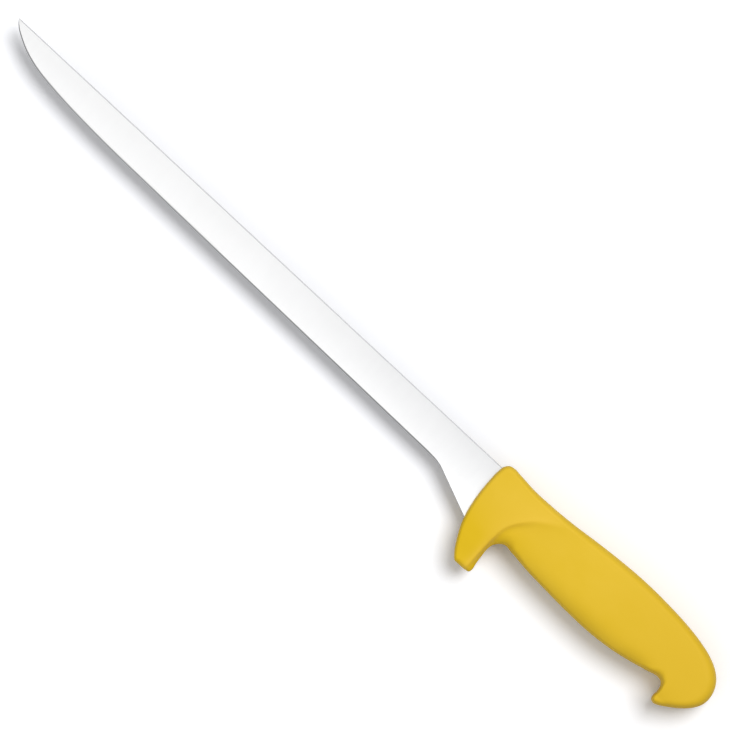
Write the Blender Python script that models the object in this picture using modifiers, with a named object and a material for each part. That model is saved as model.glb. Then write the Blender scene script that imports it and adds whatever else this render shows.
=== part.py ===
"""Ham knife: a long narrow slicing blade in a moulded handle with a finger guard and a butt hook.

Each point is (x, y, z) in the knife's own lines: x runs back from the foremost point of the
handle, so the blade lies at negative x, y rises above the line of the spine, so the cutting
edge lies below it, and z is measured from the middle plane of the blade. The knife lies on its
side, and the empty that carries both pieces puts the middle of the whole over the origin,
with the fattest part of the handle on the ground.
"""
import math

import bmesh
import bpy
from mathutils import Vector

# Blade. The edge line holds (distance behind the tip, depth below the spine), and from its
# last point the edge runs straight to the heel.
BLADE_LENGTH = 0.300
EDGE_LINE = ((0.0, 0.0), (0.004, 0.0043), (0.010, 0.0077), (0.020, 0.0113),
             (0.035, 0.0136), (0.060, 0.0153), (0.100, 0.0160))
EDGE_STEPS = 28
HEEL_SETBACK = 0.0221
HEEL_DEPTH = 0.0181
HEEL_RADIUS = 0.016
CORNER_STEPS = 5
NECK_ANGLE = math.radians(22.3)
BLADE_THICKNESS = 0.0020
HEEL_EDGE_THICKNESS = 0.0006
TIP_SPINE_THICKNESS = 0.0012
RUNOUT_LENGTH = 0.014

# Root and tang, which the handle is moulded around.
ROOT_DEPTH = 0.0075
TANG_TOP_DEPTH = 0.005
TANG_BOTTOM_DEPTH = 0.019
TANG_END = 0.104
TANG_CORNER_RADIUS = 0.004
TANG_HOLE_RADIUS = 0.0038
TANG_HOLE_COUNT = 3
FIRST_HOLE = 0.032
HOLE_PITCH = 0.027
ROUND_STEPS = 20
HOLE_TURN = 0.1
MOULDING_CLEARANCE = 0.0003

# Side view of the handle.
HANDLE_LENGTH = 0.141
FRONT_RADIUS = 0.064
FRONT_DEPTH = 0.008
FRONT_CORNER = (0.0018, 0.0020)
FRONT_CORNER_END = -0.0016
TOP_LINE = ((0.0045, 0.0032), (0.0220, 0.0021), (0.0550, 0.0043), (0.0840, 0.0062),
            (0.1120, 0.0047), (0.1270, 0.0015))
BELLY_LINE = ((0.0265, -0.0248), (0.0450, -0.0268), (0.0700, -0.0279), (0.0900, -0.0268),
              (0.1060, -0.0241), (0.1165, -0.0213))
GUARD_TOP = -0.024
GUARD_DEPTH = 0.0452
GUARD_INNER_FACE = 0.0206
GUARD_FLARE = 0.0007
GUARD_FILLET = (0.0218, -0.0270)
GUARD_TIP_ROUND = 0.0018
NOTCH_FILLET = (0.1202, -0.0230)
HOOK_INNER_LINE = (NOTCH_FILLET, (0.1213, -0.0265), (0.1213, -0.0297))
HOOK_TIP = ((0.1217, -0.0309), (0.1227, -0.0315), (0.1240, -0.0316), (0.1252, -0.0312),
            (0.1262, -0.0305))
BUTT_LINE = ((0.1335, -0.0014), (0.1371, -0.0043), (0.1397, -0.0084), (HANDLE_LENGTH, -0.0138),
             (0.1403, -0.0176), (0.1381, -0.0208), (0.1349, -0.0241), (0.1315, -0.0270),
             (0.1276, -0.0297))

# Half of the handle's thickness.
FRONT_HALF = 0.0078
GRIP_HALF_LINE = ((0.0230, 0.0078), (0.0500, 0.0102), (0.0800, 0.0115), (0.1120, 0.0105),
                  (0.1300, 0.0107))
GUARD_TIP_HALF = 0.0052
HOOK_TIP_HALF = 0.0050
SECTION_POWER = 2.5
EDGE_INSET = 0.0028
SHOULDER_INSET = 0.0006
SHOULDER_SHARE = 0.68
SHOULDER_EASING = (0.93, 0.82, 0.72)
HOOK_RUN = 0.006
HOOK_INSETS = (0.0030, 0.0020, 0.0013)
HOOK_SHOULDER_SHARE = 0.80
NOTCH_EASING = 0.3
REAR_EDGE_INSET = 0.0045
REAR_EDGE_SHARE = 0.95
REAR_SHOULDER_INSET = 0.0009
REAR_SHOULDER_SHARE = 0.6

# The raised front of the handle ends in a step that follows a part of an ellipse, and then
# dies out on its way to the top line. STEP_END holds its places on the last two body rows.
STEP_CENTRE = (0.058, GUARD_TOP)
STEP_LENGTH = 0.037
STEP_HEIGHT = 0.026
STEP_END = (0.0440, 0.0410)
STEP_RUN = 0.0024
STEP_DEPTH = 0.0010
FILLET_RUN = 0.0055

# The handle's cage: rows run along the knife, and columns cross it.
BODY_ROWS = 6
GUARD_ROWS = 4
HOOK_ROWS = 3
FRONT_RIM, FRONT_SHOULDER, FRONT_EDGE, FRONT_MIDDLE, RIDGE, VALLEY, FILLET = range(7)
GRIP_COLUMNS = 4
NOTCH_TOP = FILLET + GRIP_COLUMNS + 1
NOTCH, HOOK_FRONT, REAR_EDGE, REAR_SHOULDER, REAR_RIM = range(NOTCH_TOP + 1, NOTCH_TOP + 6)
SMOOTH_LEVELS = 2
SETTLING_ROUNDS = 3
MERGE_DISTANCE = 0.00001

BLADE_FINISH = ((0.80, 0.81, 0.83), 0.25, 1.0)
HANDLE_FINISH = ((0.79, 0.51, 0.035), 0.45, 0.0)


def smooth_line(points, x):
    """Height at x of the smooth curve through points, which runs on straight past its ends."""
    slopes = [(b[1] - a[1]) / (b[0] - a[0]) for a, b in zip(points, points[1:])]
    bends = [slopes[0]] + [(a + b) / 2 for a, b in zip(slopes, slopes[1:])] + [slopes[-1]]
    if x <= points[0][0]:
        return points[0][1] + bends[0] * (x - points[0][0])
    if x >= points[-1][0]:
        return points[-1][1] + bends[-1] * (x - points[-1][0])
    k = max(i for i, point in enumerate(points) if point[0] <= x)
    run = points[k + 1][0] - points[k][0]
    t = (x - points[k][0]) / run
    return (points[k][1] * (1 + 2 * t) * (1 - t) ** 2 + points[k + 1][1] * t * t * (3 - 2 * t)
            + run * t * (1 - t) * (bends[k] * (1 - t) - bends[k + 1] * t))


def arc(centre, radius, start, end, steps):
    """Points along an arc of a circle, between two angles in radians."""
    turns = [start + (end - start) * i / steps for i in range(steps + 1)]
    return [(centre[0] + radius * math.cos(a), centre[1] + radius * math.sin(a)) for a in turns]


def edge_points():
    """The cutting edge, from the tip to the start of the heel's round corner."""
    line = EDGE_LINE + ((BLADE_LENGTH - HEEL_SETBACK, HEEL_DEPTH),)
    end = BLADE_LENGTH - HEEL_SETBACK - HEEL_RADIUS * math.tan(NECK_ANGLE / 2)
    setbacks = [end * (i / EDGE_STEPS) ** 2 for i in range(EDGE_STEPS + 1)]
    return [(setback - BLADE_LENGTH, -smooth_line(line, setback)) for setback in setbacks]


def heel_points():
    """The heel's round corner, from the edge into the sloping neck."""
    start = edge_points()[-1]
    centre = (start[0], start[1] - HEEL_RADIUS)
    top = math.pi / 2
    return arc(centre, HEEL_RADIUS, top, top - NECK_ANGLE, CORNER_STEPS)[1:]


def root_points(grow):
    """The part that the handle holds, from under the neck round the tang and up to the spine."""
    heel = heel_points()[-1]
    back = ROOT_DEPTH + grow
    neck_bottom = heel[1] - (back - heel[0]) * math.tan(NECK_ANGLE) - grow / math.cos(NECK_ANGLE)
    radius = TANG_CORNER_RADIUS + grow
    bend = TANG_END - TANG_CORNER_RADIUS
    low = -TANG_BOTTOM_DEPTH + TANG_CORNER_RADIUS
    high = -TANG_TOP_DEPTH - TANG_CORNER_RADIUS
    points = [(back, neck_bottom), (back, -TANG_BOTTOM_DEPTH - grow)]
    points += arc((bend, low), radius, -math.pi / 2, 0, CORNER_STEPS)
    points += arc((bend, high), radius, 0, math.pi / 2, CORNER_STEPS)
    points += [(back, -TANG_TOP_DEPTH + grow), (back, grow)]
    return points


def tang_holes(shrink):
    """The round holes in the tang, each turned a little so that no three corners line up."""
    middle = -(TANG_TOP_DEPTH + TANG_BOTTOM_DEPTH) / 2
    loops = []
    for i in range(TANG_HOLE_COUNT):
        centre = (FIRST_HOLE + HOLE_PITCH * i, middle)
        turned = HOLE_TURN * i
        loop = arc(centre, TANG_HOLE_RADIUS - shrink, turned, turned + 2 * math.pi, ROUND_STEPS)
        loops.append(loop[:-1])
    return loops


def plate(name, loops, thickness, collection):
    """A flat plate with the given outline and holes, in the blade's middle plane."""
    curve = bpy.data.curves.new(name, 'CURVE')
    curve.dimensions = '2D'
    curve.fill_mode = 'BOTH'
    curve.extrude = thickness / 2
    for loop in loops:
        spline = curve.splines.new('POLY')
        spline.points.add(len(loop) - 1)
        for point, (x, y) in zip(spline.points, loop):
            point.co = (x, y, 0.0, 1.0)
        spline.use_cyclic_u = True
    drawn = bpy.data.objects.new(name + "_outline", curve)
    collection.objects.link(drawn)
    evaluated = drawn.evaluated_get(bpy.context.evaluated_depsgraph_get())
    mesh = bpy.data.meshes.new_from_object(evaluated)
    bpy.data.objects.remove(drawn)
    shape = bmesh.new()
    shape.from_mesh(mesh)
    bmesh.ops.remove_doubles(shape, verts=shape.verts, dist=MERGE_DISTANCE)
    bmesh.ops.recalc_face_normals(shape, faces=shape.faces)
    shape.to_mesh(mesh)
    shape.free()
    mesh.name = name
    piece = bpy.data.objects.new(name, mesh)
    collection.objects.link(piece)
    return piece


def cut(piece, cutter):
    """Take the cutter's shape out of the piece."""
    boolean = piece.modifiers.new("cut_" + cutter.name, 'BOOLEAN')
    boolean.operation = 'DIFFERENCE'
    boolean.object = cutter
    cutter.hide_render = True
    cutter.display_type = 'WIRE'


def ground_half(x, y):
    """Half of the blade's thickness: a flat from spine to edge, which runs out before the handle."""
    full = BLADE_THICKNESS / 2
    depth_slope = (full - HEEL_EDGE_THICKNESS / 2) / HEEL_DEPTH
    tip_slope = (full - TIP_SPINE_THICKNESS / 2) / (BLADE_LENGTH - HEEL_SETBACK)
    runout_slope = depth_slope * HEEL_DEPTH / RUNOUT_LENGTH
    behind = x + HEEL_SETBACK
    ground = full + depth_slope * y + max(tip_slope * behind, runout_slope * behind)
    return min(full, ground)


def grind(blade):
    """Grind both sides of the plate, with the flats meeting along two straight lines."""
    shape = bmesh.new()
    shape.from_mesh(blade.data)
    for across in ((1.0, 0.0, 0.0), (HEEL_DEPTH, RUNOUT_LENGTH, 0.0)):
        geometry = shape.verts[:] + shape.edges[:] + shape.faces[:]
        bmesh.ops.bisect_plane(shape, geom=geometry, dist=MERGE_DISTANCE,
                               plane_co=(-HEEL_SETBACK, 0.0, 0.0), plane_no=across)
    for vertex in shape.verts:
        vertex.co.z = math.copysign(ground_half(vertex.co.x, vertex.co.y), vertex.co.z)
    shape.to_mesh(blade.data)
    shape.free()


def make_blade(parts):
    """The blade, neck and tang: one plate, with each side ground to a thin edge."""
    outline = edge_points() + heel_points() + root_points(0.0)
    blade = plate("blade", [outline] + tang_holes(0.0), BLADE_THICKNESS, parts)
    grind(blade)
    return blade


def front_x(y):
    """The handle's front, an arc of a circle, at height y."""
    drop = y + FRONT_DEPTH
    return FRONT_RADIUS - math.sqrt(FRONT_RADIUS ** 2 - drop ** 2)


def guard_inner_x(y):
    """The guard's inner face, which flares a little towards the tip."""
    top = GUARD_FILLET[1]
    return GUARD_INNER_FACE + GUARD_FLARE * max(0.0, (top - y) / (GUARD_DEPTH + top)) ** 2


def half_at(x):
    """Half of the grip's thickness at x."""
    return smooth_line(GRIP_HALF_LINE, x)


def guard_halves(y):
    """Half of the guard's thickness along its front and along its back, thinner at the tip."""
    share = (y + GUARD_DEPTH) / (GUARD_DEPTH + GUARD_TOP)
    return (GUARD_TIP_HALF + (FRONT_HALF - GUARD_TIP_HALF) * share,
            GUARD_TIP_HALF + (FRONT_HALF + STEP_DEPTH - GUARD_TIP_HALF) * share)


def row_height(row):
    """A body row's height in the cross-section, from 1 at the top line to -1 at the belly."""
    across = math.cos(math.pi * row / BODY_ROWS)
    return math.copysign(abs(across) ** (2 / SECTION_POWER), across)


def body_line(x, row, bottom=None):
    """Height of a body row at x, between the top line and the belly."""
    top, low = body_limits(x, bottom)
    return (top + low) / 2 + (top - low) / 2 * row_height(row)


def body_limits(x, bottom=None):
    """Heights of the top line and of the belly at x, or of another given bottom."""
    if bottom is None:
        bottom = smooth_line(BELLY_LINE, max(x, BELLY_LINE[0][0]))
    return smooth_line(TOP_LINE, max(x, TOP_LINE[0][0])), bottom


def skin_share(x, y, guarded=False, bottom=None):
    """Share of half the thickness at a point, rounding off towards the top line and the belly."""
    top, low = body_limits(x, bottom)
    inset = top - y if guarded else min(top - y, y - low)
    inset = min(1.0, max(0.0, 2 * inset / (top - low)))
    return (1 - (1 - inset) ** SECTION_POWER) ** (1 / SECTION_POWER)


def step_points(row):
    """A body row's points on the step's ridge and in the valley behind it."""
    if row < len(STEP_END):
        places = (STEP_END[row], STEP_END[row] + STEP_RUN)
        return [Vector((x, body_line(x, row))) for x in places]
    y = body_line(GUARD_FILLET[0], row, BELLY_LINE[0][1])
    angle = math.asin(min(1.0, max(0.0, (y - STEP_CENTRE[1]) / STEP_HEIGHT)))
    ridge = Vector((STEP_CENTRE[0] - STEP_LENGTH * math.cos(angle), y))
    inward = Vector((math.cos(angle) / STEP_LENGTH, -math.sin(angle) / STEP_HEIGHT))
    return ridge, ridge + STEP_RUN * inward.normalized()


def top_points(points):
    """The outline along the top, from the front corner to the butt."""
    start = TOP_LINE[0][0]
    edge = start + EDGE_INSET
    places = {FRONT_SHOULDER: start, FRONT_EDGE: edge, FRONT_MIDDLE: (edge + STEP_END[0]) / 2,
              RIDGE: STEP_END[0], VALLEY: STEP_END[0] + STEP_RUN}
    points[FRONT_RIM, 0] = (*FRONT_CORNER, 0.0)
    for column, x in places.items():
        points[column, 0] = (x, smooth_line(TOP_LINE, x), 0.0)


def front_points(points):
    """The raised front, from its rim back to the valley behind the step."""
    for row in range(1, BODY_ROWS):
        drop = (GUARD_TOP - FRONT_CORNER_END) * (row - 1) / (BODY_ROWS - 2)
        y = FRONT_CORNER_END + drop
        x = front_x(y)
        ridge, valley = step_points(row)
        middle = (Vector((x + EDGE_INSET, y)) + ridge) / 2
        raised = half_at(ridge.x) + (STEP_DEPTH if row >= len(STEP_END) else 0.0)
        if row == BODY_ROWS - 1:
            raised *= SHOULDER_EASING[0]
        front_half = FRONT_HALF * skin_share(x, y, guarded=True)
        middle_half = (FRONT_HALF + raised) / 2 * skin_share(*middle, guarded=True)
        points[FRONT_RIM, row] = (x, y, 0.0)
        points[FRONT_SHOULDER, row] = (x + SHOULDER_INSET, y, SHOULDER_SHARE * front_half)
        points[FRONT_EDGE, row] = (x + EDGE_INSET, y, front_half)
        points[FRONT_MIDDLE, row] = (*middle, middle_half)
        points[RIDGE, row] = (*ridge, raised * skin_share(*ridge, guarded=True))
        points[VALLEY, row] = (*valley, half_at(valley.x) * skin_share(*valley))


def guard_rows(points):
    """The guard, from the belly line down to the start of its tip."""
    last_full = EDGE_INSET - GUARD_DEPTH
    heights = (GUARD_FILLET[1], (GUARD_FILLET[1] + last_full) / 2, last_full)
    eased = SHOULDER_EASING[1:] + (SHOULDER_SHARE,)
    for row, (y, rear_share) in enumerate(zip(heights, eased), BODY_ROWS):
        front = front_x(y)
        inner = guard_inner_x(y) if row > BODY_ROWS else GUARD_FILLET[0]
        front_half, rear_half = guard_halves(y)
        points[FRONT_RIM, row] = (front, y, 0.0)
        points[FRONT_SHOULDER, row] = (front + SHOULDER_INSET, y, SHOULDER_SHARE * front_half)
        points[FRONT_EDGE, row] = (front + EDGE_INSET, y, front_half)
        points[FRONT_MIDDLE, row] = (inner - EDGE_INSET, y, (front_half + rear_half) / 2)
        points[RIDGE, row] = (inner - SHOULDER_INSET, y, rear_share * rear_half)
        points[VALLEY, row] = (inner, y, 0.0)


def guard_tip(points):
    """The guard's square tip, with a small round corner at the front and at the back."""
    tip = -GUARD_DEPTH
    round_in = GUARD_TIP_ROUND * (1 - math.sqrt(0.5))
    shoulder_in = round_in + SHOULDER_INSET
    shoulder_half = SHOULDER_SHARE * GUARD_TIP_HALF
    row = BODY_ROWS + GUARD_ROWS
    sides = ((front_x, 1, FRONT_RIM, FRONT_SHOULDER, FRONT_EDGE),
             (guard_inner_x, -1, VALLEY, RIDGE, FRONT_MIDDLE))
    for side, way, rim, shoulder, edge in sides:
        x = side(tip)
        above = tip + GUARD_TIP_ROUND
        points[rim, row - 1] = (side(above), above, 0.0)
        points[shoulder, row - 1] = (x + way * shoulder_in, tip + shoulder_in, shoulder_half)
        points[edge, row - 1] = (x + way * EDGE_INSET, tip + SHOULDER_INSET, shoulder_half)
        points[rim, row] = (x + way * round_in, tip + round_in, 0.0)
        points[shoulder, row] = (x + way * GUARD_TIP_ROUND, tip, 0.0)
        points[edge, row] = (x + way * EDGE_INSET, tip, 0.0)


def grip_points(points):
    """The grip, from behind the step to the notch in front of the hook."""
    notch_top = BELLY_LINE[-1][0]
    for row in range(BODY_ROWS + 1):
        start = points[VALLEY, row][0] + FILLET_RUN
        if row == BODY_ROWS:
            start = BELLY_LINE[0][0]
        for k in range(GRIP_COLUMNS + 2):
            x = start + (notch_top - start) * k / (GRIP_COLUMNS + 1)
            y = body_line(x, row)
            if k == 0 and 0 < row < BODY_ROWS:
                y = (y + points[VALLEY, row][1]) / 2
            points[FILLET + k, row] = (x, y, half_at(x) * skin_share(x, y))


def hook_fronts(points):
    """The notch column on the outline, and the column behind it on the side of the hook."""
    notch_x, notch_y = NOTCH_FILLET
    for row in range(BODY_ROWS):
        y = body_line(notch_x, row, notch_y)
        share = skin_share(notch_x, y, bottom=notch_y)
        share += NOTCH_EASING * (skin_share(notch_x, y, guarded=True) - share)
        points[NOTCH, row] = (notch_x, y, half_at(notch_x) * share)
        x = notch_x + HOOK_RUN
        y = body_line(x, row, notch_y)
        points[HOOK_FRONT, row] = (x, y, half_at(x) * skin_share(x, y, True, notch_y))
    rows = zip(HOOK_INNER_LINE, HOOK_INSETS)
    for row, ((x, y), inset) in enumerate(rows, BODY_ROWS):
        points[NOTCH, row] = (x, y, 0.0)
        points[HOOK_FRONT, row] = (x + inset, y, HOOK_SHOULDER_SHARE * hook_half(y))


def hook_half(y):
    """Half of the hook's thickness, thinner towards its tip."""
    full = half_at(NOTCH_FILLET[0])
    top = NOTCH_FILLET[1]
    tip = HOOK_TIP[0][1]
    return full + (HOOK_TIP_HALF - full) * min(1.0, max(0.0, (y - top) / (tip - top)))


def butt_points(points):
    """The butt and its hook, from the hook's front round to the outline at the end."""
    last = BODY_ROWS + HOOK_ROWS
    top_line = TOP_LINE + (BUTT_LINE[0],)
    for row in range(last):
        rim = Vector(BUTT_LINE[row])
        front = Vector(points[HOOK_FRONT, row][:2])
        inward = (front - rim).normalized()
        edge = rim + REAR_EDGE_INSET * inward
        shoulder = rim + REAR_SHOULDER_INSET * inward
        if row == 0:
            edge.y = smooth_line(top_line, edge.x)
            shoulder.x = (edge.x + rim.x) / 2
            shoulder.y = smooth_line(top_line, shoulder.x)
        half = hook_half(edge.y)
        if row < BODY_ROWS:
            half *= skin_share(points[HOOK_FRONT, row][0], points[HOOK_FRONT, row][1], True)
        points[REAR_EDGE, row] = (*edge, REAR_EDGE_SHARE * half)
        points[REAR_SHOULDER, row] = (*shoulder, REAR_SHOULDER_SHARE * half)
        points[REAR_RIM, row] = (*rim, 0.0)
    for column, place in enumerate(HOOK_TIP, NOTCH):
        points[column, last] = (*place, 0.0)


def cage_faces(points):
    """The corners of each face of the cage, row by row."""
    faces = []
    for column, row in points:
        corners = ((column, row), (column, row + 1), (column + 1, row + 1), (column + 1, row))
        in_body = row < BODY_ROWS
        in_guard = row < BODY_ROWS + GUARD_ROWS and column < VALLEY
        in_hook = row < BODY_ROWS + HOOK_ROWS and column >= NOTCH
        if (in_body or in_guard or in_hook) and all(corner in points for corner in corners):
            faces.append(corners)
    return faces


def smooth_place(vertex):
    """Where the smooth surface passes a corner of its cage of four-sided faces."""
    count = len(vertex.link_edges)
    near = sum((edge.other_vert(vertex).co for edge in vertex.link_edges), Vector())
    far = Vector()
    for loop in vertex.link_loops:
        far += loop.link_loop_next.link_loop_next.vert.co
    return (count * count * vertex.co + 4 * near + far) / (count * (count + 5))


def settle(shape):
    """Draw the cage outwards until the smooth surface runs through where its corners were."""
    places = [vertex.co.copy() for vertex in shape.verts]
    for _ in range(SETTLING_ROUNDS):
        misses = [place - smooth_place(vertex) for place, vertex in zip(places, shape.verts)]
        for vertex, miss in zip(shape.verts, misses):
            vertex.co += miss


def handle_mesh():
    """The handle's cage: the half above the blade's middle plane, mirrored below it."""
    points = {}
    for lay_out in (top_points, front_points, guard_rows, guard_tip, grip_points, hook_fronts,
                    butt_points):
        lay_out(points)
    shape = bmesh.new()
    corners = {place: shape.verts.new(point) for place, point in points.items()}
    for face in cage_faces(points):
        shape.faces.new([corners[place] for place in face])
    bmesh.ops.mirror(shape, geom=shape.verts[:] + shape.edges[:] + shape.faces[:],
                     axis='Z', merge_dist=MERGE_DISTANCE)
    bmesh.ops.recalc_face_normals(shape, faces=shape.faces)
    settle(shape)
    mesh = bpy.data.meshes.new("handle")
    shape.to_mesh(mesh)
    shape.free()
    mesh.shade_smooth()
    return mesh


def make_handle(parts, cutters):
    """The handle, with the hollow that the root and tang fill."""
    handle = bpy.data.objects.new("handle", handle_mesh())
    parts.objects.link(handle)
    smooth = handle.modifiers.new("smooth", 'SUBSURF')
    smooth.levels = SMOOTH_LEVELS
    smooth.render_levels = SMOOTH_LEVELS
    grow = MOULDING_CLEARANCE
    heel = heel_points()[-1]
    mouth = [(heel[0], grow), (heel[0], heel[1] - grow / math.cos(NECK_ANGLE))]
    hollow = plate("tang_hollow", [mouth + root_points(grow)] + tang_holes(grow),
                   BLADE_THICKNESS + 2 * grow, cutters)
    hollow.parent = handle
    cut(handle, hollow)
    return handle


def finish(piece, look):
    """Give the piece its colour, roughness and metallic value."""
    colour, roughness, metallic = look
    material = bpy.data.materials.new(piece.name)
    material.use_nodes = True
    shader = material.node_tree.nodes["Principled BSDF"]
    shader.inputs["Base Color"].default_value = (*colour, 1.0)
    shader.inputs["Roughness"].default_value = roughness
    shader.inputs["Metallic"].default_value = metallic
    piece.data.materials.clear()
    piece.data.materials.append(material)


def make_knife():
    """Lay the knife on its side, with its middle over the origin."""
    for old in list(bpy.data.objects):
        bpy.data.objects.remove(old)
    parts = bpy.data.collections.new("ham_knife")
    cutters = bpy.data.collections.new("ham_knife_cutters")
    bpy.context.scene.collection.children.link(parts)
    bpy.context.scene.collection.children.link(cutters)
    knife = bpy.data.objects.new("knife", None)
    parts.objects.link(knife)
    crest = max(height for _, height in TOP_LINE)
    knife.location = ((BLADE_LENGTH - HANDLE_LENGTH) / 2, (GUARD_DEPTH - crest) / 2,
                      max(half for _, half in GRIP_HALF_LINE))
    blade = make_blade(parts)
    handle = make_handle(parts, cutters)
    for piece, look in ((blade, BLADE_FINISH), (handle, HANDLE_FINISH)):
        piece.parent = knife
        finish(piece, look)


make_knife()
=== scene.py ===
"""The ham knife as it looks: a satin steel blade in a matt yellow moulded handle, on white.

Lengths are written in millimetres in the knife's own lines: x runs back from the front of the
handle, so the blade lies at negative x, y rises above the spine of the blade, and z is measured
from the blade's middle plane. A finished piece holds its place in the frame's metres.
"""
import math

import bpy
import numpy as np
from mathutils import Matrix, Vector
from mathutils.geometry import interpolate_bezier


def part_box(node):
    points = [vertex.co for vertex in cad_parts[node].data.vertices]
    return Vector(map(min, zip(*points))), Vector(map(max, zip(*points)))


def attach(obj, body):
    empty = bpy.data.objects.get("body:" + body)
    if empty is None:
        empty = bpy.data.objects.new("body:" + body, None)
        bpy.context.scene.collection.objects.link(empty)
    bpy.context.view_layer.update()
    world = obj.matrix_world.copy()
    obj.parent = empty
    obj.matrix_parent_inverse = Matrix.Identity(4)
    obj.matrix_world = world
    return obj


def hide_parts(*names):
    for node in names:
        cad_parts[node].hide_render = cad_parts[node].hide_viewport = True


MM = 0.001

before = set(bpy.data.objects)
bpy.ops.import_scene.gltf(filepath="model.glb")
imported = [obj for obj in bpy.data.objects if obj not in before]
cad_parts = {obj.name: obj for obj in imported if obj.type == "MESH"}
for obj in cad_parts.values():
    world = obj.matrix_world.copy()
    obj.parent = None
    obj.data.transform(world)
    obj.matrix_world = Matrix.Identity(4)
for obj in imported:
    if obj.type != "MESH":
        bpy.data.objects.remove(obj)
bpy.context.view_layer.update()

# Blade. The edge line holds (distance behind the tip, depth below the spine), and its first and
# last places lie off the blade and only steer the curve.
BLADE_LENGTH = 300.0
EDGE_LINE = ((-1.2, -1.9), (0.0, 0.0), (1.2, 1.65), (3.0, 3.45), (7.0, 5.95), (12.0, 8.45),
             (20.0, 11.05), (33.0, 13.1), (60.0, 15.0), (100.0, 15.8), (278.0, 17.9),
             (330.0, 18.5))
HEEL_SETBACK = 22.2
HEEL_RADIUS = 16.0
NECK_ANGLE = math.radians(22.3)
ROOT_DEPTH = 7.5

# Half of the blade's thickness: at the spine by the heel, at the spine's tip end, and at the
# heel's depth. Where the blade is shallower than the taper, it thins out towards its point.
SPINE_HALF = 1.0
TIP_HALF = 0.6
HEEL_HALF = 0.3
HEEL_DEPTH = 17.9
POINT_TAPER = 3.0

# The rounding of the spine, and the bevel down to a thin edge. Round the heel, between two
# places along x, the bevel gives way to the rounding of the neck.
SPINE_ROUND = 0.45
EDGE_BEVEL = 0.6
EDGE_HALF = 0.03
NECK_ROUND = 0.25
NECK_BLEND = (-31.0, -21.0)

# One side of the blade is a grid of columns, crowded towards the tip, and of rows from spine to
# edge. The rows before the first flat one round the spine, and those after the last form the edge.
BLADE_COLUMNS = 260
BLADE_ROWS = 26
FIRST_FLAT_ROW = 3
LAST_FLAT_ROW = 24
TIP_CROWDING = 1.5

# The two sides join over the seam's gap, and points closer than the weld's gap become one.
# Faces that meet at a smaller angle than the last are shaded as one smooth surface.
SEAM_GAP = 0.001
WELD_GAP = 0.002
SMOOTH_BELOW = math.radians(12)

# Side view of the handle, once round from the front: (x, y, reach of the rim's rounding there).
HANDLE_OUTLINE = (
    (0.25, -2.5, 2.2), (0.2, -8.0, 1.8), (0.7, -16.0, 1.8), (2.0, -24.0, 1.8), (4.45, -32.0, 1.8),
    (7.5, -38.0, 1.7), (11.0, -43.4, 1.7), (12.9, -45.35, 1.8), (13.7, -45.75, 2.4),
    (14.7, -45.7, 3.4), (20.4, -45.4, 3.9), (21.55, -45.05, 3.7), (22.0, -43.8, 3.8),
    (21.5, -39.95, 4.2), (21.0, -35.45, 4.9), (20.8, -31.5, 5.5), (21.25, -29.05, 6.4),
    (22.5, -27.05, 7.2), (25.2, -25.1, 7.2), (30.0, -25.45, 3.4), (40.0, -26.6, 1.8),
    (52.0, -27.35, 1.6), (68.0, -28.0, 1.5), (80.0, -28.0, 1.5), (92.05, -26.9, 1.5),
    (104.05, -24.65, 1.6), (112.05, -22.6, 2.6), (117.0, -21.45, 5.0), (119.4, -22.0, 3.2),
    (120.95, -23.8, 1.2), (121.5, -26.25, 0.8), (121.35, -29.5, 0.9), (121.9, -30.9, 1.8),
    (123.8, -31.6, 3.0), (125.65, -30.9, 3.2), (130.15, -28.15, 4.0), (135.15, -24.35, 4.4),
    (138.8, -20.35, 5.2), (140.65, -16.85, 6.4), (141.15, -13.5, 7.0), (140.45, -9.2, 7.0),
    (138.3, -5.15, 6.6), (134.7, -1.75, 6.2), (129.1, 1.15, 5.2), (121.05, 3.4, 4.6),
    (110.05, 5.1, 4.5), (98.0, 6.0, 4.5), (85.0, 6.4, 4.5), (70.0, 5.85, 4.4),
    (55.95, 4.7, 4.2), (42.0, 3.25, 3.8), (30.0, 2.55, 3.4), (18.0, 2.45, 3.0),
    (9.0, 3.25, 2.8), (4.7, 3.5, 2.6), (2.35, 2.75, 2.2), (1.0, 1.15, 2.4))
OUTLINE_STEPS = 12

# The rims are rounded along a curve of this power, on which 2 would be an ellipse.
SECTION_POWER = 3.0

# Half of the handle's thickness: behind the step, in the raised front, and as shares of it that
# thin the guard towards its tip.
GRIP_HALF = ((20.0, 7.2), (34.0, 9.0), (50.0, 10.2), (80.0, 11.45), (112.0, 10.6), (130.0, 10.6))
RAISED_HALF = ((0.0, 7.6), (8.0, 8.5), (20.0, 9.4), (50.0, 11.0))
RAISED_SHARE = ((-45.2, 0.58), (-33.0, 0.78), (-24.0, 0.915), (-16.0, 0.985), (-10.0, 1.0),
                (3.0, 0.93))

# The grip's sides are crowned: over this reach from the line of the crown they fall off by a
# small share towards the spine, and more and more steeply towards the belly, by a share that
# changes along x.
CROWN_LINE = -11.0
CROWN_REACH = 17.0
SPINE_FALL = 0.10
SPINE_POWER = 2
BELLY_POWER = 4
BELLY_FALL = ((34.0, 0.54), (50.0, 0.50), (80.0, 0.50), (94.0, 0.58), (108.0, 1.15),
              (120.0, 0.13))

# The raised front ends in a step along a quarter of an ellipse. Its lip lies in front of the
# ellipse, and behind the lip the step falls off over a spread. Both change with the turn round
# the ellipse, in radians, and the step dies out along x. The least reach keeps the ellipse's
# centre from being divided by nothing.
STEP_CENTRE = (58.0, -24.0)
STEP_AXES = (37.0, 26.0)
STEP_LIP = ((0.0, 2.2), (0.4, 1.2))
STEP_SPREAD = ((0.1, 1.3), (0.45, 2.4), (0.9, 3.6))
STEP_FADE = (34.0, 54.0)
LEAST_REACH = 0.01

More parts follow.
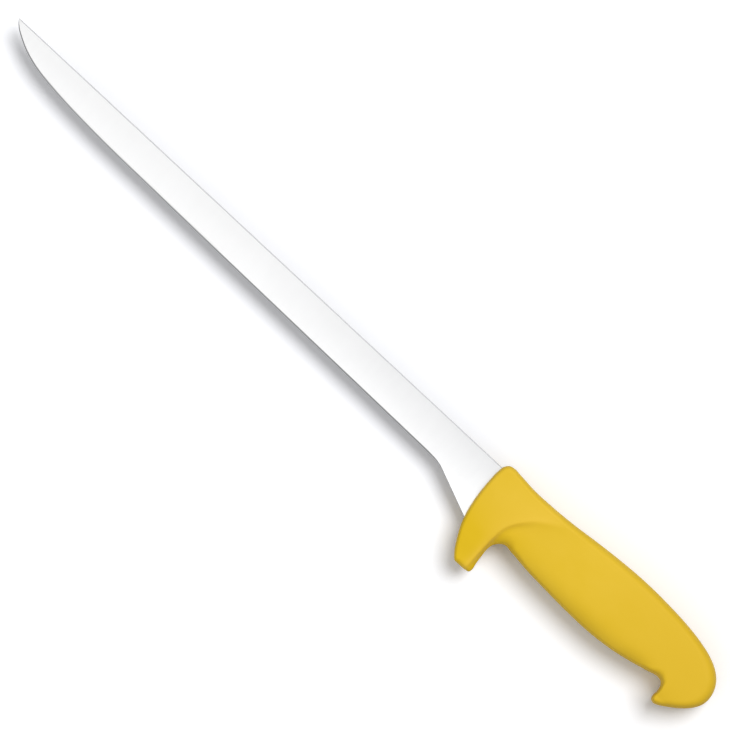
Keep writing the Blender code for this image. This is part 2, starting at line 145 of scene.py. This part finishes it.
# A painted highlight makes the raised front a little lighter: it rises to the lip of its step,
# and fades forward from a crest over a reach that shrinks down the guard, both given by height.
PAINTED_HIGHLIGHT_RISE = (-2.7, -0.2)
PAINTED_HIGHLIGHT_CREST = ((-32.0, 3.0), (-22.0, 1.2))
PAINTED_HIGHLIGHT_REACH = ((-32.0, 1.3), (-18.0, 9.0))
PAINTED_HIGHLIGHT_FADE = (30.0, 41.0)

# The handle starts as a slab with this half thickness, remeshed into faces of about this size.
# Its points are measured in batches, to spare memory.
SLAB_HALF = 8.0
HANDLE_FACE = 0.46
POINTS_AT_ONCE = 2000

# Half the width of the raised parting line that the mould leaves round the handle's middle.
PARTING_HALF = 0.25


def smooth_line(points, x):
    """Heights at x of the smooth curve through points, which stays level past its ends."""
    at, height = np.array(points, float).T
    slopes = np.diff(height) / np.diff(at)
    bends = np.concatenate(([0.0], (slopes[:-1] + slopes[1:]) / 2, [0.0]))
    x = np.clip(x, at[0], at[-1])
    k = np.clip(np.searchsorted(at, x, side='right') - 1, 0, len(slopes) - 1)
    run = at[k + 1] - at[k]
    t = (x - at[k]) / run
    return (height[k] * (1 + 2 * t) * (1 - t) ** 2 + height[k + 1] * t * t * (3 - 2 * t)
            + run * t * (1 - t) * (bends[k] * (1 - t) - bends[k + 1] * t))


def ease(start, end, x):
    """Rises smoothly from 0 at start to 1 at end."""
    t = np.clip((x - start) / (end - start), 0.0, 1.0)
    return t * t * (3 - 2 * t)


def knife_front():
    """Where the knife's own lines start in the frame: on the spine, at the handle's front."""
    tip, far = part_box("blade")
    return Vector((tip.x + BLADE_LENGTH * MM, far.y, (tip.z + far.z) / 2))


def lay_down(piece):
    """Turn a piece from the knife's own lines, in millimetres, into its place in the frame."""
    places = points_of(piece) * MM + np.array(knife_front())
    set_points(piece, places)


def points_of(piece):
    """The piece's points, as rows of x, y and z."""
    flat = np.empty(3 * len(piece.data.vertices))
    piece.data.vertices.foreach_get("co", flat)
    return flat.reshape(-1, 3)


def set_points(piece, places):
    """Move the piece's points to the given rows of x, y and z."""
    piece.data.vertices.foreach_set("co", places.ravel())
    piece.data.update()


def keep(piece, name, material):
    """Name a finished piece, give it its finish, and let it ride on the knife."""
    piece.name = piece.data.name = name + "_finished"
    piece.data.materials.clear()
    piece.data.materials.append(material)
    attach(piece, "root")
    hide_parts(name)


# Blade

def edge_depth(x):
    """How deep the blade is at x: the curved tip, the long edge, the round heel and the neck."""
    setback = x + BLADE_LENGTH
    edge = smooth_line(EDGE_LINE, setback)
    bend = -HEEL_SETBACK - HEEL_RADIUS * math.tan(NECK_ANGLE / 2)
    past = np.clip(x - bend, 0.0, HEEL_RADIUS * math.sin(NECK_ANGLE))
    heel = HEEL_RADIUS - np.sqrt(HEEL_RADIUS ** 2 - past ** 2)
    neck = np.maximum(x - bend - past, 0.0) * math.tan(NECK_ANGLE)
    return np.minimum(edge, HEEL_DEPTH) + heel + neck


def ground_half(x, y):
    """Half of the blade's thickness: flat from spine to edge, and level in the neck's low part."""
    depth_slope = (SPINE_HALF - HEEL_HALF) / HEEL_DEPTH
    tip_slope = (SPINE_HALF - TIP_HALF) / (BLADE_LENGTH - HEEL_SETBACK)
    before_heel = np.minimum(x + HEEL_SETBACK, 0.0)
    return SPINE_HALF + depth_slope * np.maximum(y, -HEEL_DEPTH) + tip_slope * before_heel


def blade_section(x):
    """Depths and half thicknesses down one side of the blade, for every column and row."""
    depth = edge_depth(x)[:, None]
    small = np.minimum(1.0, depth / POINT_TAPER)
    at_neck = ease(*NECK_BLEND, x)[:, None]
    spine_round = SPINE_ROUND * small
    bevel = (EDGE_BEVEL + (NECK_ROUND - EDGE_BEVEL) * at_neck) * small
    flats = np.linspace(0.0, 1.0, LAST_FLAT_ROW - FIRST_FLAT_ROW + 1)[None, :]
    depths = spine_round + (depth - spine_round - bevel) * flats
    halves = ground_half(x[:, None], -depths) * np.sqrt(small)
    edge_half = EDGE_HALF + (halves[:, -1:] - NECK_ROUND - EDGE_HALF) * at_neck
    zero = np.zeros_like(depth)
    corner = spine_round * (1 - math.sqrt(0.5))
    depths = np.hstack((zero, zero, corner, depths, depth, depth))
    halves = np.hstack((zero, halves[:, :1] - spine_round, halves[:, :1] - corner, halves,
                        np.minimum(edge_half, halves[:, -1:]), zero))
    return depths, halves


def make_blade():
    """Half of the blade from a grid laid out tip to root and spine to edge, then mirrored."""
    bpy.ops.object.select_all(action='DESELECT')
    bpy.ops.mesh.primitive_grid_add(x_subdivisions=BLADE_COLUMNS, y_subdivisions=BLADE_ROWS, size=2.0)
    blade = bpy.context.object
    grid = points_of(blade)
    along = (grid[:, 0] + 1) / 2
    column = np.rint(along * BLADE_COLUMNS).astype(int)
    row = np.rint((1 - grid[:, 1]) / 2 * BLADE_ROWS).astype(int)
    length = BLADE_LENGTH + ROOT_DEPTH
    stations = length * (np.arange(BLADE_COLUMNS + 1) / BLADE_COLUMNS) ** TIP_CROWDING
    x = stations - BLADE_LENGTH
    depths, halves = blade_section(x)
    places = np.column_stack((x[column], -depths[column, row], halves[column, row]))
    set_points(blade, places)
    # Mark the faces of the spine's rounding and the edge bevel, where the steel is rougher and
    # painted dark as a line of dark reflection.
    corners = np.empty(len(blade.data.loops), int)
    blade.data.loops.foreach_get("vertex_index", corners)
    first_row = row[corners].reshape(-1, 4).min(axis=1)
    rough_and_painted_dark = np.where((first_row < FIRST_FLAT_ROW) | (first_row >= LAST_FLAT_ROW), 1.0, 0.0)
    blade.data.attributes.new("rough_and_painted_dark", 'FLOAT', 'FACE').data.foreach_set("value", rough_and_painted_dark)
    mirror = blade.modifiers.new("other_side", 'MIRROR')
    mirror.use_axis = (False, False, True)
    mirror.use_clip = True
    mirror.merge_threshold = SEAM_GAP
    bpy.ops.object.modifier_apply(modifier=mirror.name)
    bpy.ops.object.mode_set(mode='EDIT')
    bpy.ops.mesh.select_all(action='SELECT')
    bpy.ops.mesh.remove_doubles(threshold=WELD_GAP)
    bpy.ops.mesh.select_all(action='DESELECT')
    bpy.ops.mesh.select_non_manifold()
    bpy.ops.mesh.edge_face_add()
    bpy.ops.mesh.select_all(action='SELECT')
    bpy.ops.mesh.normals_make_consistent(inside=False)
    bpy.ops.object.mode_set(mode='OBJECT')
    bpy.ops.object.shade_smooth_by_angle(angle=SMOOTH_BELOW)
    lay_down(blade)
    keep(blade, "blade", satin_steel())


# Handle

def outline_loop():
    """The handle's side view as a fine closed line, with the rounding at each of its places."""
    count = len(HANDLE_OUTLINE)
    places, roundings = [], []
    for i in range(count):
        near = [Vector(HANDLE_OUTLINE[(i + k) % count][:2]) for k in (-1, 0, 1, 2)]
        runs = [b - a for a, b in zip(near, near[1:])]
        leave, arrive = (
            (a.normalized() * b.length + b.normalized() * a.length).normalized()
            for a, b in zip(runs, runs[1:]))
        pull = runs[1].length / 3
        line = interpolate_bezier(near[1], near[1] + pull * leave, near[2] - pull * arrive,
                                  near[2], OUTLINE_STEPS + 1)
        places += [point[:2] for point in line[:-1]]
        ends = HANDLE_OUTLINE[i][2], HANDLE_OUTLINE[(i + 1) % count][2]
        shares = ease(0.0, 1.0, np.arange(OUTLINE_STEPS) / OUTLINE_STEPS)
        roundings += list(ends[0] + (ends[1] - ends[0]) * shares)
    return np.array(places), np.array(roundings)


def inward_of(loop):
    """Unit vectors that point from the line's places into the handle."""
    along = np.roll(loop, -1, axis=0) - np.roll(loop, 1, axis=0)
    across = np.column_stack((-along[:, 1], along[:, 0]))
    return across / np.linalg.norm(across, axis=1)[:, None]


def measure_inset(points, loop, roundings):
    """How far inside the line each point lies, with the inward direction and rounding there."""
    runs = np.roll(loop, -1, axis=0) - loop
    inward = inward_of(loop)
    insets, directions, rounds = [], [], []
    for batch in np.array_split(points, 1 + len(points) // POINTS_AT_ONCE):
        offsets = batch[:, None] - loop[None]
        shares = np.clip((offsets * runs).sum(axis=2) / (runs ** 2).sum(axis=1), 0.0, 1.0)
        gaps = offsets - shares[..., None] * runs
        best = (gaps ** 2).sum(axis=2).argmin(axis=1)
        rows = np.arange(len(batch))
        share = shares[rows, best][:, None]
        after = (best + 1) % len(loop)
        direction = (1 - share) * inward[best] + share * inward[after]
        insets.append((gaps[rows, best] * direction).sum(axis=1))
        directions.append(direction)
        rounds.append((1 - share[:, 0]) * roundings[best] + share[:, 0] * roundings[after])
    return np.concatenate(insets), np.concatenate(directions), np.concatenate(rounds)


def ahead_of_step(x, y):
    """How far each place lies in front of the step's curve, in millimetres; behind it, below 0."""
    across = np.maximum(STEP_CENTRE[0] - x, 0.0) / STEP_AXES[0]
    up = np.maximum(y - STEP_CENTRE[1], 0.0) / STEP_AXES[1]
    reach = np.hypot(across, up)
    steepness = np.hypot(across / STEP_AXES[0], up / STEP_AXES[1]) / np.maximum(reach, LEAST_REACH)
    return (reach - 1.0) / np.maximum(steepness, LEAST_REACH)


def ahead_of_lip(x, y):
    """How far each place lies in front of the step's lip, and its turn round the ellipse."""
    turn = np.arctan2(y - STEP_CENTRE[1], STEP_CENTRE[0] - x)
    return ahead_of_step(x, y) - smooth_line(STEP_LIP, turn), turn


def skin_half(x, y):
    """Half of the handle's thickness at its fullest: raised front, step and crowned grip."""
    up = (y - CROWN_LINE) / CROWN_REACH
    crown = 1.0 - SPINE_FALL * np.maximum(up, 0.0) ** SPINE_POWER
    crown -= smooth_line(BELLY_FALL, x) * np.clip(-up, 0.0, 1.0) ** BELLY_POWER
    grip = smooth_line(GRIP_HALF, x) * crown
    raised = smooth_line(RAISED_HALF, x) * smooth_line(RAISED_SHARE, y)
    ahead, turn = ahead_of_lip(x, y)
    behind = np.maximum(-ahead, 0.0)
    step = 1.0 / (1.0 + (behind / smooth_line(STEP_SPREAD, turn)) ** 2)
    return grip + (raised - grip) * step * (1.0 - ease(*STEP_FADE, x))


def painted_highlight_share(x, y):
    """How much painted highlight the raised front gets: most along the crest of its step."""
    ahead = ahead_of_step(x, y)
    beyond = np.maximum(ahead - smooth_line(PAINTED_HIGHLIGHT_CREST, y), 0.0)
    fade = np.exp(-beyond / smooth_line(PAINTED_HIGHLIGHT_REACH, y))
    return ease(*PAINTED_HIGHLIGHT_RISE, ahead_of_lip(x, y)[0]) * fade * (1.0 - ease(*PAINTED_HIGHLIGHT_FADE, x))


def make_handle():
    """A slab cut to the side view, remeshed finely and pressed to the moulded, rounded skin."""
    loop, roundings = outline_loop()
    bpy.ops.object.select_all(action='DESELECT')
    bpy.ops.mesh.primitive_circle_add(vertices=len(loop), radius=1.0, fill_type='NGON')
    handle = bpy.context.object
    set_points(handle, np.column_stack((loop, np.full(len(loop), -SLAB_HALF))))
    bpy.ops.object.mode_set(mode='EDIT')
    bpy.ops.mesh.select_all(action='SELECT')
    bpy.ops.mesh.extrude_region_move(TRANSFORM_OT_translate={"value": (0.0, 0.0, 2 * SLAB_HALF)})
    bpy.ops.mesh.select_all(action='SELECT')
    bpy.ops.mesh.normals_make_consistent(inside=False)
    bpy.ops.object.mode_set(mode='OBJECT')
    remesh = handle.modifiers.new("even_faces", 'REMESH')
    remesh.mode = 'VOXEL'
    remesh.voxel_size = HANDLE_FACE
    bpy.ops.object.modifier_apply(modifier=remesh.name)
    slab = points_of(handle)
    inset, inward, rounding = measure_inset(slab[:, :2], loop, roundings)
    side = np.maximum(rounding - inset, 0.0) / rounding
    lift = np.minimum(np.abs(slab[:, 2]) / SLAB_HALF, 1.0)
    draw_in = (side ** SECTION_POWER + lift ** SECTION_POWER) ** (-1 / SECTION_POWER)
    new_inset = np.where(side > 0.0, rounding * (1.0 - draw_in * side), inset)
    flat = slab[:, :2] + (new_inset - inset)[:, None] * inward
    height = np.sign(slab[:, 2]) * skin_half(flat[:, 0], flat[:, 1]) * draw_in * lift
    set_points(handle, np.column_stack((flat, height)))
    # Mark where the painted highlight lies, along the crest of the raised front's step.
    painted_highlight = handle.data.attributes.new("painted_highlight", 'FLOAT', 'POINT')
    painted_highlight.data.foreach_set("value", painted_highlight_share(flat[:, 0], flat[:, 1]))
    bpy.ops.object.shade_smooth()
    lay_down(handle)
    keep(handle, "handle", moulded_yellow())


# Finishes

# Steel: its colour by the spine in front, painted shade by the spine at the rear, a painted lighter
# reflection by the edge, faint clouds, and a painted dark line where spine and bevel are rougher.
# Sizes are in millimetres, and a bump is a depth and a strength.
STEEL_FRONT = (0.812, 0.813, 0.815)
STEEL_PAINTED_SHADE = (0.738, 0.740, 0.747)
STEEL_PAINTED_LIGHT = (0.898, 0.899, 0.903)
STEEL_CLOUDS = (0.93, 0.93, 0.935)
STEEL_PAINTED_DARK_LINE = (0.30, 0.30, 0.305)
CLOUD_SIZE = (45.0, 12.0, 12.0)
CLOUD_STRENGTH = 0.10
GRINDING_SIZE = (0.16, 9.0, 9.0)
GRINDING_ROUGHNESS = (0.22, 0.27)
GRINDING_BUMP = (0.01, 0.06)
COARSE_ROUGHNESS = 0.5

# The painted shade along the spine deepens towards the handle between these places along x.
SPINE_TONES = (-150.0, -60.0)

# Plastic: the two yellows of its mottle, and what it goes to at the rear, in the painted shade low
# in front and in the painted highlight at the step.
YELLOW_MOTTLE = ((0.764, 0.500, 0.016), (0.784, 0.516, 0.024))
YELLOW_DULLER = (0.742, 0.476, 0.016)
YELLOW_PAINTED_SHADE = (0.765, 0.500, 0.004)
YELLOW_PAINTED_HIGHLIGHT = (0.818, 0.530, 0.030)
MOTTLE_SIZE = (14.0, 9.0, 9.0)
GRAIN_SIZE = (0.35, 0.35, 0.35)
GRAIN_ROUGHNESS = (0.60, 0.70)
GRAIN_BUMP = (0.03, 0.3)
PARTING_BUMP = (0.08, 0.6)
PAINTED_HIGHLIGHT_ROUGHNESS = 0.55
PLASTIC_GLOSS = 0.27

# Painted shade makes the yellow a little deeper low down in front; it is a little duller towards the
# butt.
PAINTED_SHADE_HEIGHT = (-28.0, -12.0)
PAINTED_SHADE_FRONT = (22.0, 45.0)
DULLER_REAR = (60.0, 125.0)

# Most of a noise texture lies between these values.
NOISE_LOW = 0.3
NOISE_HIGH = 0.7


def new_finish(name):
    """A material with its shader, and the object's place as a pattern coordinate."""
    material = bpy.data.materials.new(name)
    material.use_nodes = True
    tree = material.node_tree
    shader = tree.nodes["Principled BSDF"]
    place = tree.nodes.new('ShaderNodeTexCoord')
    return material, tree, shader, place.outputs["Object"]


def noise(tree, place, size, detail):
    """Noise whose blotches are about size millimetres along each axis."""
    mapping = tree.nodes.new('ShaderNodeMapping')
    mapping.inputs["Scale"].default_value = [1.0 / (length * MM) for length in size]
    tree.links.new(place, mapping.inputs["Vector"])
    texture = tree.nodes.new('ShaderNodeTexNoise')
    texture.inputs["Scale"].default_value = 1.0
    texture.inputs["Detail"].default_value = detail
    tree.links.new(mapping.outputs["Vector"], texture.inputs["Vector"])
    return texture.outputs["Fac"]


def spread(tree, value, low, high, start=NOISE_LOW, end=NOISE_HIGH):
    """Spread a value that runs from start to end over low to high."""
    node = tree.nodes.new('ShaderNodeMapRange')
    node.inputs["From Min"].default_value = start
    node.inputs["From Max"].default_value = end
    node.inputs["To Min"].default_value = low
    node.inputs["To Max"].default_value = high
    tree.links.new(value, node.inputs["Value"])
    return node.outputs["Result"]


def blend_colours(tree, share, first, second):
    """Go from the first colour to the second as the share goes from 0 to 1."""
    node = tree.nodes.new('ShaderNodeMix')
    node.data_type = 'RGBA'
    tree.links.new(share, node.inputs["Factor"])
    for socket, colour in ((node.inputs["A"], first), (node.inputs["B"], second)):
        if isinstance(colour, tuple):
            socket.default_value = (*colour, 1.0)
        else:
            tree.links.new(colour, socket)
    return node.outputs["Result"]


def blend_numbers(tree, share, first, second):
    """Go from the first number to the second as the share goes from 0 to 1."""
    node = tree.nodes.new('ShaderNodeMix')
    tree.links.new(share, node.inputs["Factor"])
    tree.links.new(first, node.inputs["A"])
    node.inputs["B"].default_value = second
    return node.outputs["Result"]


def raise_up(tree, height, distance, strength, under=None):
    """Bump the surface by height, on top of another bump if there is one."""
    bump = tree.nodes.new('ShaderNodeBump')
    bump.inputs["Distance"].default_value = distance * MM
    bump.inputs["Strength"].default_value = strength
    tree.links.new(height, bump.inputs["Height"])
    if under is not None:
        tree.links.new(under, bump.inputs["Normal"])
    return bump.outputs["Normal"]


def marked(tree, name):
    """A value that the mesh holds under this name."""
    mark = tree.nodes.new('ShaderNodeAttribute')
    mark.attribute_name = name
    return mark.outputs["Fac"]


def satin_steel():
    """Steel with fine grinding lines from spine to edge; on spine and bevel rougher, with a painted
    dark line.
    """
    material, tree, shader, place = new_finish("satin_steel")
    front = knife_front()
    lines = noise(tree, place, GRINDING_SIZE, detail=3.0)
    clouds = noise(tree, place, CLOUD_SIZE, detail=1.0)
    apart = tree.nodes.new('ShaderNodeSeparateXYZ')
    tree.links.new(place, apart.inputs["Vector"])
    # Painted reflection and shade: lighter towards the edge, darker along the spine towards the
    # handle.
    low = spread(tree, apart.outputs["Y"], 1.0, 0.0, front.y - HEEL_DEPTH * MM, front.y)
    back = spread(tree, apart.outputs["X"], 0.0, 1.0, *(front.x + x * MM for x in SPINE_TONES))
    by_spine = blend_colours(tree, back, STEEL_FRONT, STEEL_PAINTED_SHADE)
    colour = blend_colours(tree, low, by_spine, STEEL_PAINTED_LIGHT)
    cloudy = blend_colours(tree, spread(tree, clouds, 0.0, CLOUD_STRENGTH), colour, STEEL_CLOUDS)
    # The marked spine rounding and edge bevel are rougher, and carry a painted dark reflection line.
    rough_and_painted_dark = marked(tree, "rough_and_painted_dark")
    dark_lined = blend_colours(tree, rough_and_painted_dark, cloudy, STEEL_PAINTED_DARK_LINE)
    tree.links.new(dark_lined, shader.inputs["Base Color"])
    satin = spread(tree, lines, *GRINDING_ROUGHNESS)
    rough = blend_numbers(tree, rough_and_painted_dark, satin, COARSE_ROUGHNESS)
    tree.links.new(rough, shader.inputs["Roughness"])
    shader.inputs["Metallic"].default_value = 1.0
    normal = raise_up(tree, lines, *GRINDING_BUMP)
    tree.links.new(normal, shader.inputs["Normal"])
    return material


def moulded_yellow():
    """Matt yellow plastic with its mould's grain and parting line, painted highlight at the step,
    painted shade.
    """
    material, tree, shader, place = new_finish("moulded_yellow")
    front = knife_front()
    grain = noise(tree, place, GRAIN_SIZE, detail=3.0)
    mottle = noise(tree, place, MOTTLE_SIZE, detail=2.0)
    apart = tree.nodes.new('ShaderNodeSeparateXYZ')
    tree.links.new(place, apart.inputs["Vector"])
    mottled = blend_colours(tree, spread(tree, mottle, 0.0, 1.0), *YELLOW_MOTTLE)
    rear = spread(tree, apart.outputs["X"], 0.0, 1.0, *(front.x + x * MM for x in DULLER_REAR))
    duller = blend_colours(tree, rear, mottled, YELLOW_DULLER)
    # Painted shade: the yellow goes a little deeper low down in front.
    low = spread(tree, apart.outputs["Y"], 1.0, 0.0, *(front.y + y * MM for y in PAINTED_SHADE_HEIGHT))
    ahead = spread(tree, apart.outputs["X"], 1.0, 0.0, *(front.x + x * MM for x in PAINTED_SHADE_FRONT))
    both = tree.nodes.new('ShaderNodeMath')
    both.operation = 'MULTIPLY'
    tree.links.new(low, both.inputs[0])
    tree.links.new(ahead, both.inputs[1])
    low_shaded = blend_colours(tree, both.outputs[0], duller, YELLOW_PAINTED_SHADE)
    # Painted highlight along the step's crest, where the plastic is also a little smoother.
    painted_highlight = marked(tree, "painted_highlight")
    highlighted = blend_colours(tree, painted_highlight, low_shaded, YELLOW_PAINTED_HIGHLIGHT)
    tree.links.new(highlighted, shader.inputs["Base Color"])
    rough = blend_numbers(tree, painted_highlight, spread(tree, grain, *GRAIN_ROUGHNESS), PAINTED_HIGHLIGHT_ROUGHNESS)
    tree.links.new(rough, shader.inputs["Roughness"])
    shader.inputs["Specular IOR Level"].default_value = PLASTIC_GLOSS
    off_middle = tree.nodes.new('ShaderNodeMath')
    off_middle.operation = 'ABSOLUTE'
    across = spread(tree, apart.outputs["Z"], -1.0, 1.0, front.z - PARTING_HALF * MM,
                    front.z + PARTING_HALF * MM)
    tree.links.new(across, off_middle.inputs[0])
    parting_line = spread(tree, off_middle.outputs[0], 1.0, 0.0, 0.0, 1.0)
    grained = raise_up(tree, grain, *GRAIN_BUMP)
    normal = raise_up(tree, parting_line, *PARTING_BUMP, under=grained)
    tree.links.new(normal, shader.inputs["Normal"])
    return material


# Studio

# Camera: how far it is turned, and what its picture is centred on and takes in, in metres.
# The lens is long, so the knife's sides don't show.
VIEW_TURN = math.radians(42.95)
VIEW_CENTRE = Vector((0.00275, 0.01115, 0.0115))
VIEW_WIDTH = 0.3328
LENS = 500.0
SENSOR = 36.0

# Floor: its size in metres, its colour for the light that it throws back onto the knife, and
# its colour as the camera and the steel see it.
FLOOR_SIZE = 6.0
FLOOR_COLOUR = (0.50, 0.50, 0.50)
FLOOR_SEEN = (1.085, 1.092, 1.122)

# Light: the lamp's direction, spread and strength, then the surround's strength at the horizon
# and overhead and the side that it is stronger on, and its strength as the steel mirrors it,
# at the horizon and from a height upwards.
KEY_FROM = Vector((0.12, 0.55, 1.0))
KEY_SPREAD = math.radians(36.0)
KEY_STRENGTH = 2.08
FILL = (0.26, 0.52)
FILL_LEAN = Vector((-0.5, -0.7, 0.0))
MIRRORED = (0.5, 1.0)
MIRRORED_HEIGHT = 0.8


def seen_directly(tree):
    """1 for what the camera sees itself or in the steel, 0 for light that falls on things."""
    rays = tree.nodes.new('ShaderNodeLightPath')
    either = tree.nodes.new('ShaderNodeMath')
    either.operation = 'MAXIMUM'
    tree.links.new(rays.outputs["Is Camera Ray"], either.inputs[0])
    tree.links.new(rays.outputs["Is Glossy Ray"], either.inputs[1])
    fallen = tree.nodes.new('ShaderNodeMath')
    fallen.operation = 'SUBTRACT'
    fallen.use_clamp = True
    tree.links.new(either.outputs[0], fallen.inputs[0])
    tree.links.new(rays.outputs["Diffuse Depth"], fallen.inputs[1])
    return fallen.outputs[0]


def make_floor():
    """A plain white floor that keeps the knife's shadow."""
    bpy.ops.object.select_all(action='DESELECT')
    bpy.ops.mesh.primitive_plane_add(size=FLOOR_SIZE)
    floor = bpy.context.object
    floor.name = "floor"
    material = bpy.data.materials.new("floor_white")
    material.use_nodes = True
    tree = material.node_tree
    shader = tree.nodes["Principled BSDF"]
    colour = blend_colours(tree, seen_directly(tree), FLOOR_COLOUR, FLOOR_SEEN)
    tree.links.new(colour, shader.inputs["Base Color"])
    shader.inputs["Roughness"].default_value = 1.0
    shader.inputs["Specular IOR Level"].default_value = 0.0
    floor.data.materials.append(material)


def make_light():
    """One soft lamp from the spine's side, and a white surround.

    The surround is weaker low down, and stronger on the belly's side and towards the tip.
    """
    lamp = bpy.data.lights.new("key", 'SUN')
    lamp.angle = KEY_SPREAD
    lamp.energy = KEY_STRENGTH
    key = bpy.data.objects.new("key", lamp)
    key.location = KEY_FROM
    key.rotation_euler = (-KEY_FROM).to_track_quat('-Z', 'Y').to_euler()
    bpy.context.scene.collection.objects.link(key)
    world = bpy.data.worlds.new("surround")
    world.use_nodes = True
    bpy.context.scene.world = world
    tree = world.node_tree
    background = tree.nodes["Background"]
    rays = tree.nodes.new('ShaderNodeLightPath')
    place = tree.nodes.new('ShaderNodeTexCoord')
    apart = tree.nodes.new('ShaderNodeSeparateXYZ')
    tree.links.new(place.outputs["Generated"], apart.inputs["Vector"])
    fill = tree.nodes.new('ShaderNodeMath')
    fill.operation = 'MULTIPLY'
    tree.links.new(spread(tree, apart.outputs["Z"], *FILL, 0.0, 1.0), fill.inputs[0])
    lean = tree.nodes.new('ShaderNodeVectorMath')
    lean.operation = 'DOT_PRODUCT'
    tree.links.new(place.outputs["Generated"], lean.inputs[0])
    lean.inputs[1].default_value = FILL_LEAN
    leaning = spread(tree, lean.outputs["Value"], 0.0, 2.0, -1.0, 1.0)
    tree.links.new(leaning, fill.inputs[1])
    mirrored = spread(tree, apart.outputs["Z"], *MIRRORED, 0.0, MIRRORED_HEIGHT)
    light = tree.nodes.new('ShaderNodeMix')
    tree.links.new(rays.outputs["Is Glossy Ray"], light.inputs["Factor"])
    tree.links.new(fill.outputs[0], light.inputs["A"])
    tree.links.new(mirrored, light.inputs["B"])
    white = tree.nodes.new('ShaderNodeMix')
    tree.links.new(rays.outputs["Is Camera Ray"], white.inputs["Factor"])
    tree.links.new(light.outputs["Result"], white.inputs["A"])
    white.inputs["B"].default_value = 1.0
    tree.links.new(white.outputs["Result"], background.inputs["Strength"])
    background.inputs["Color"].default_value = (1.0, 1.0, 1.0, 1.0)


def make_camera():
    """A long lens straight above the knife, turned so that the knife lies across the picture."""
    lens = bpy.data.cameras.new("camera")
    lens.lens = LENS
    lens.sensor_width = SENSOR
    camera = bpy.data.objects.new("camera", lens)
    camera.location = VIEW_CENTRE + Vector((0.0, 0.0, VIEW_WIDTH * LENS / SENSOR))
    camera.rotation_euler = (0.0, 0.0, VIEW_TURN)
    bpy.context.scene.collection.objects.link(camera)
    bpy.context.scene.camera = camera


make_blade()
make_handle()
make_floor()
make_light()
make_camera()
bpy.context.scene.view_settings.view_transform = 'Standard'
